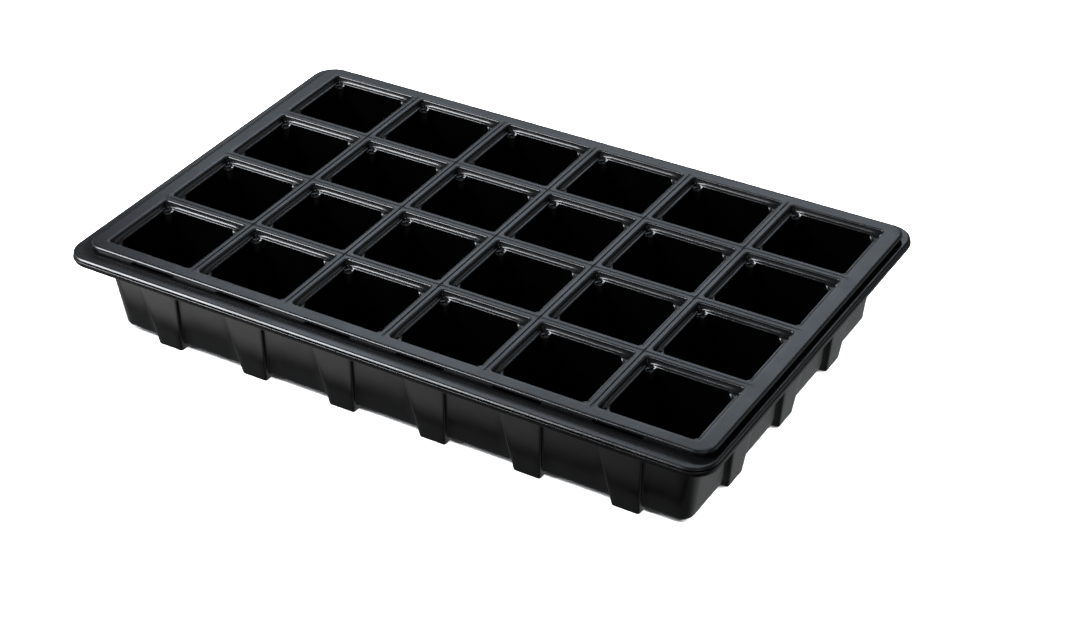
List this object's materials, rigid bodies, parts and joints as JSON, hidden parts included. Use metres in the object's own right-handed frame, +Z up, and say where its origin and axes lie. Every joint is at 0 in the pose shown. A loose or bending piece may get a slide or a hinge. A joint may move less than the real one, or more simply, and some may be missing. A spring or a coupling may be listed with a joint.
{
  "type": "seed tray",
  "caption": "Rectangular plant-raising tray with ribbed drafted walls and a rolled rim, holding a lift-out multi-cell insert with square drained cells.",
  "frame": {"origin": "on the ground under the middle of the tray", "axes": "+X along the long side, +Y to the back, +Z up"},
  "size_m": [0.379, 0.239, 0.0561],
  "materials": {
    "tray_plastic": "satin, faintly mottled, thermoformed black polystyrene",
    "insert_plastic": "semi-gloss, thin thermoformed black polystyrene"
  },
  "bodies": {
    "tray": {"tray_floor": "tray_plastic", "tray_feet": "tray_plastic", "tray_rim": "tray_plastic", "tray_wall_front": "tray_plastic", "tray_wall_back": "tray_plastic", "tray_wall_left": "tray_plastic", "tray_wall_right": "tray_plastic", "tray_corner_fl": "tray_plastic", "tray_corner_fr": "tray_plastic", "tray_corner_bl": "tray_plastic", "tray_corner_br": "tray_plastic"},
    "insert": {"deck_front": "insert_plastic", "deck_back": "insert_plastic", "deck_left": "insert_plastic", "deck_right": "insert_plastic", "column_bar_1": "insert_plastic", "column_bar_2": "insert_plastic", "column_bar_3": "insert_plastic", "column_bar_4": "insert_plastic", "column_bar_5": "insert_plastic", "row_bar_1": "insert_plastic", "row_bar_2": "insert_plastic", "row_bar_3": "insert_plastic", "cell_r1c1": "insert_plastic", "cell_r1c2": "insert_plastic", "cell_r1c3": "insert_plastic", "cell_r1c4": "insert_plastic", "cell_r1c5": "insert_plastic", "cell_r1c6": "insert_plastic", "cell_r2c1": "insert_plastic", "cell_r2c2": "insert_plastic", "cell_r2c3": "insert_plastic", "cell_r2c4": "insert_plastic", "cell_r2c5": "insert_plastic", "cell_r2c6": "insert_plastic", "cell_r3c1": "insert_plastic", "cell_r3c2": "insert_plastic", "cell_r3c3": "insert_plastic", "cell_r3c4": "insert_plastic", "cell_r3c5": "insert_plastic", "cell_r3c6": "insert_plastic", "cell_r4c1": "insert_plastic", "cell_r4c2": "insert_plastic", "cell_r4c3": "insert_plastic", "cell_r4c4": "insert_plastic", "cell_r4c5": "insert_plastic", "cell_r4c6": "insert_plastic"}
  },
  "joints": [
    {"name": "insert_lift", "type": "slide", "parent": "tray", "child": "insert", "axis": [0, 0, 1], "range_m": [0, 0.06]}
  ]
}
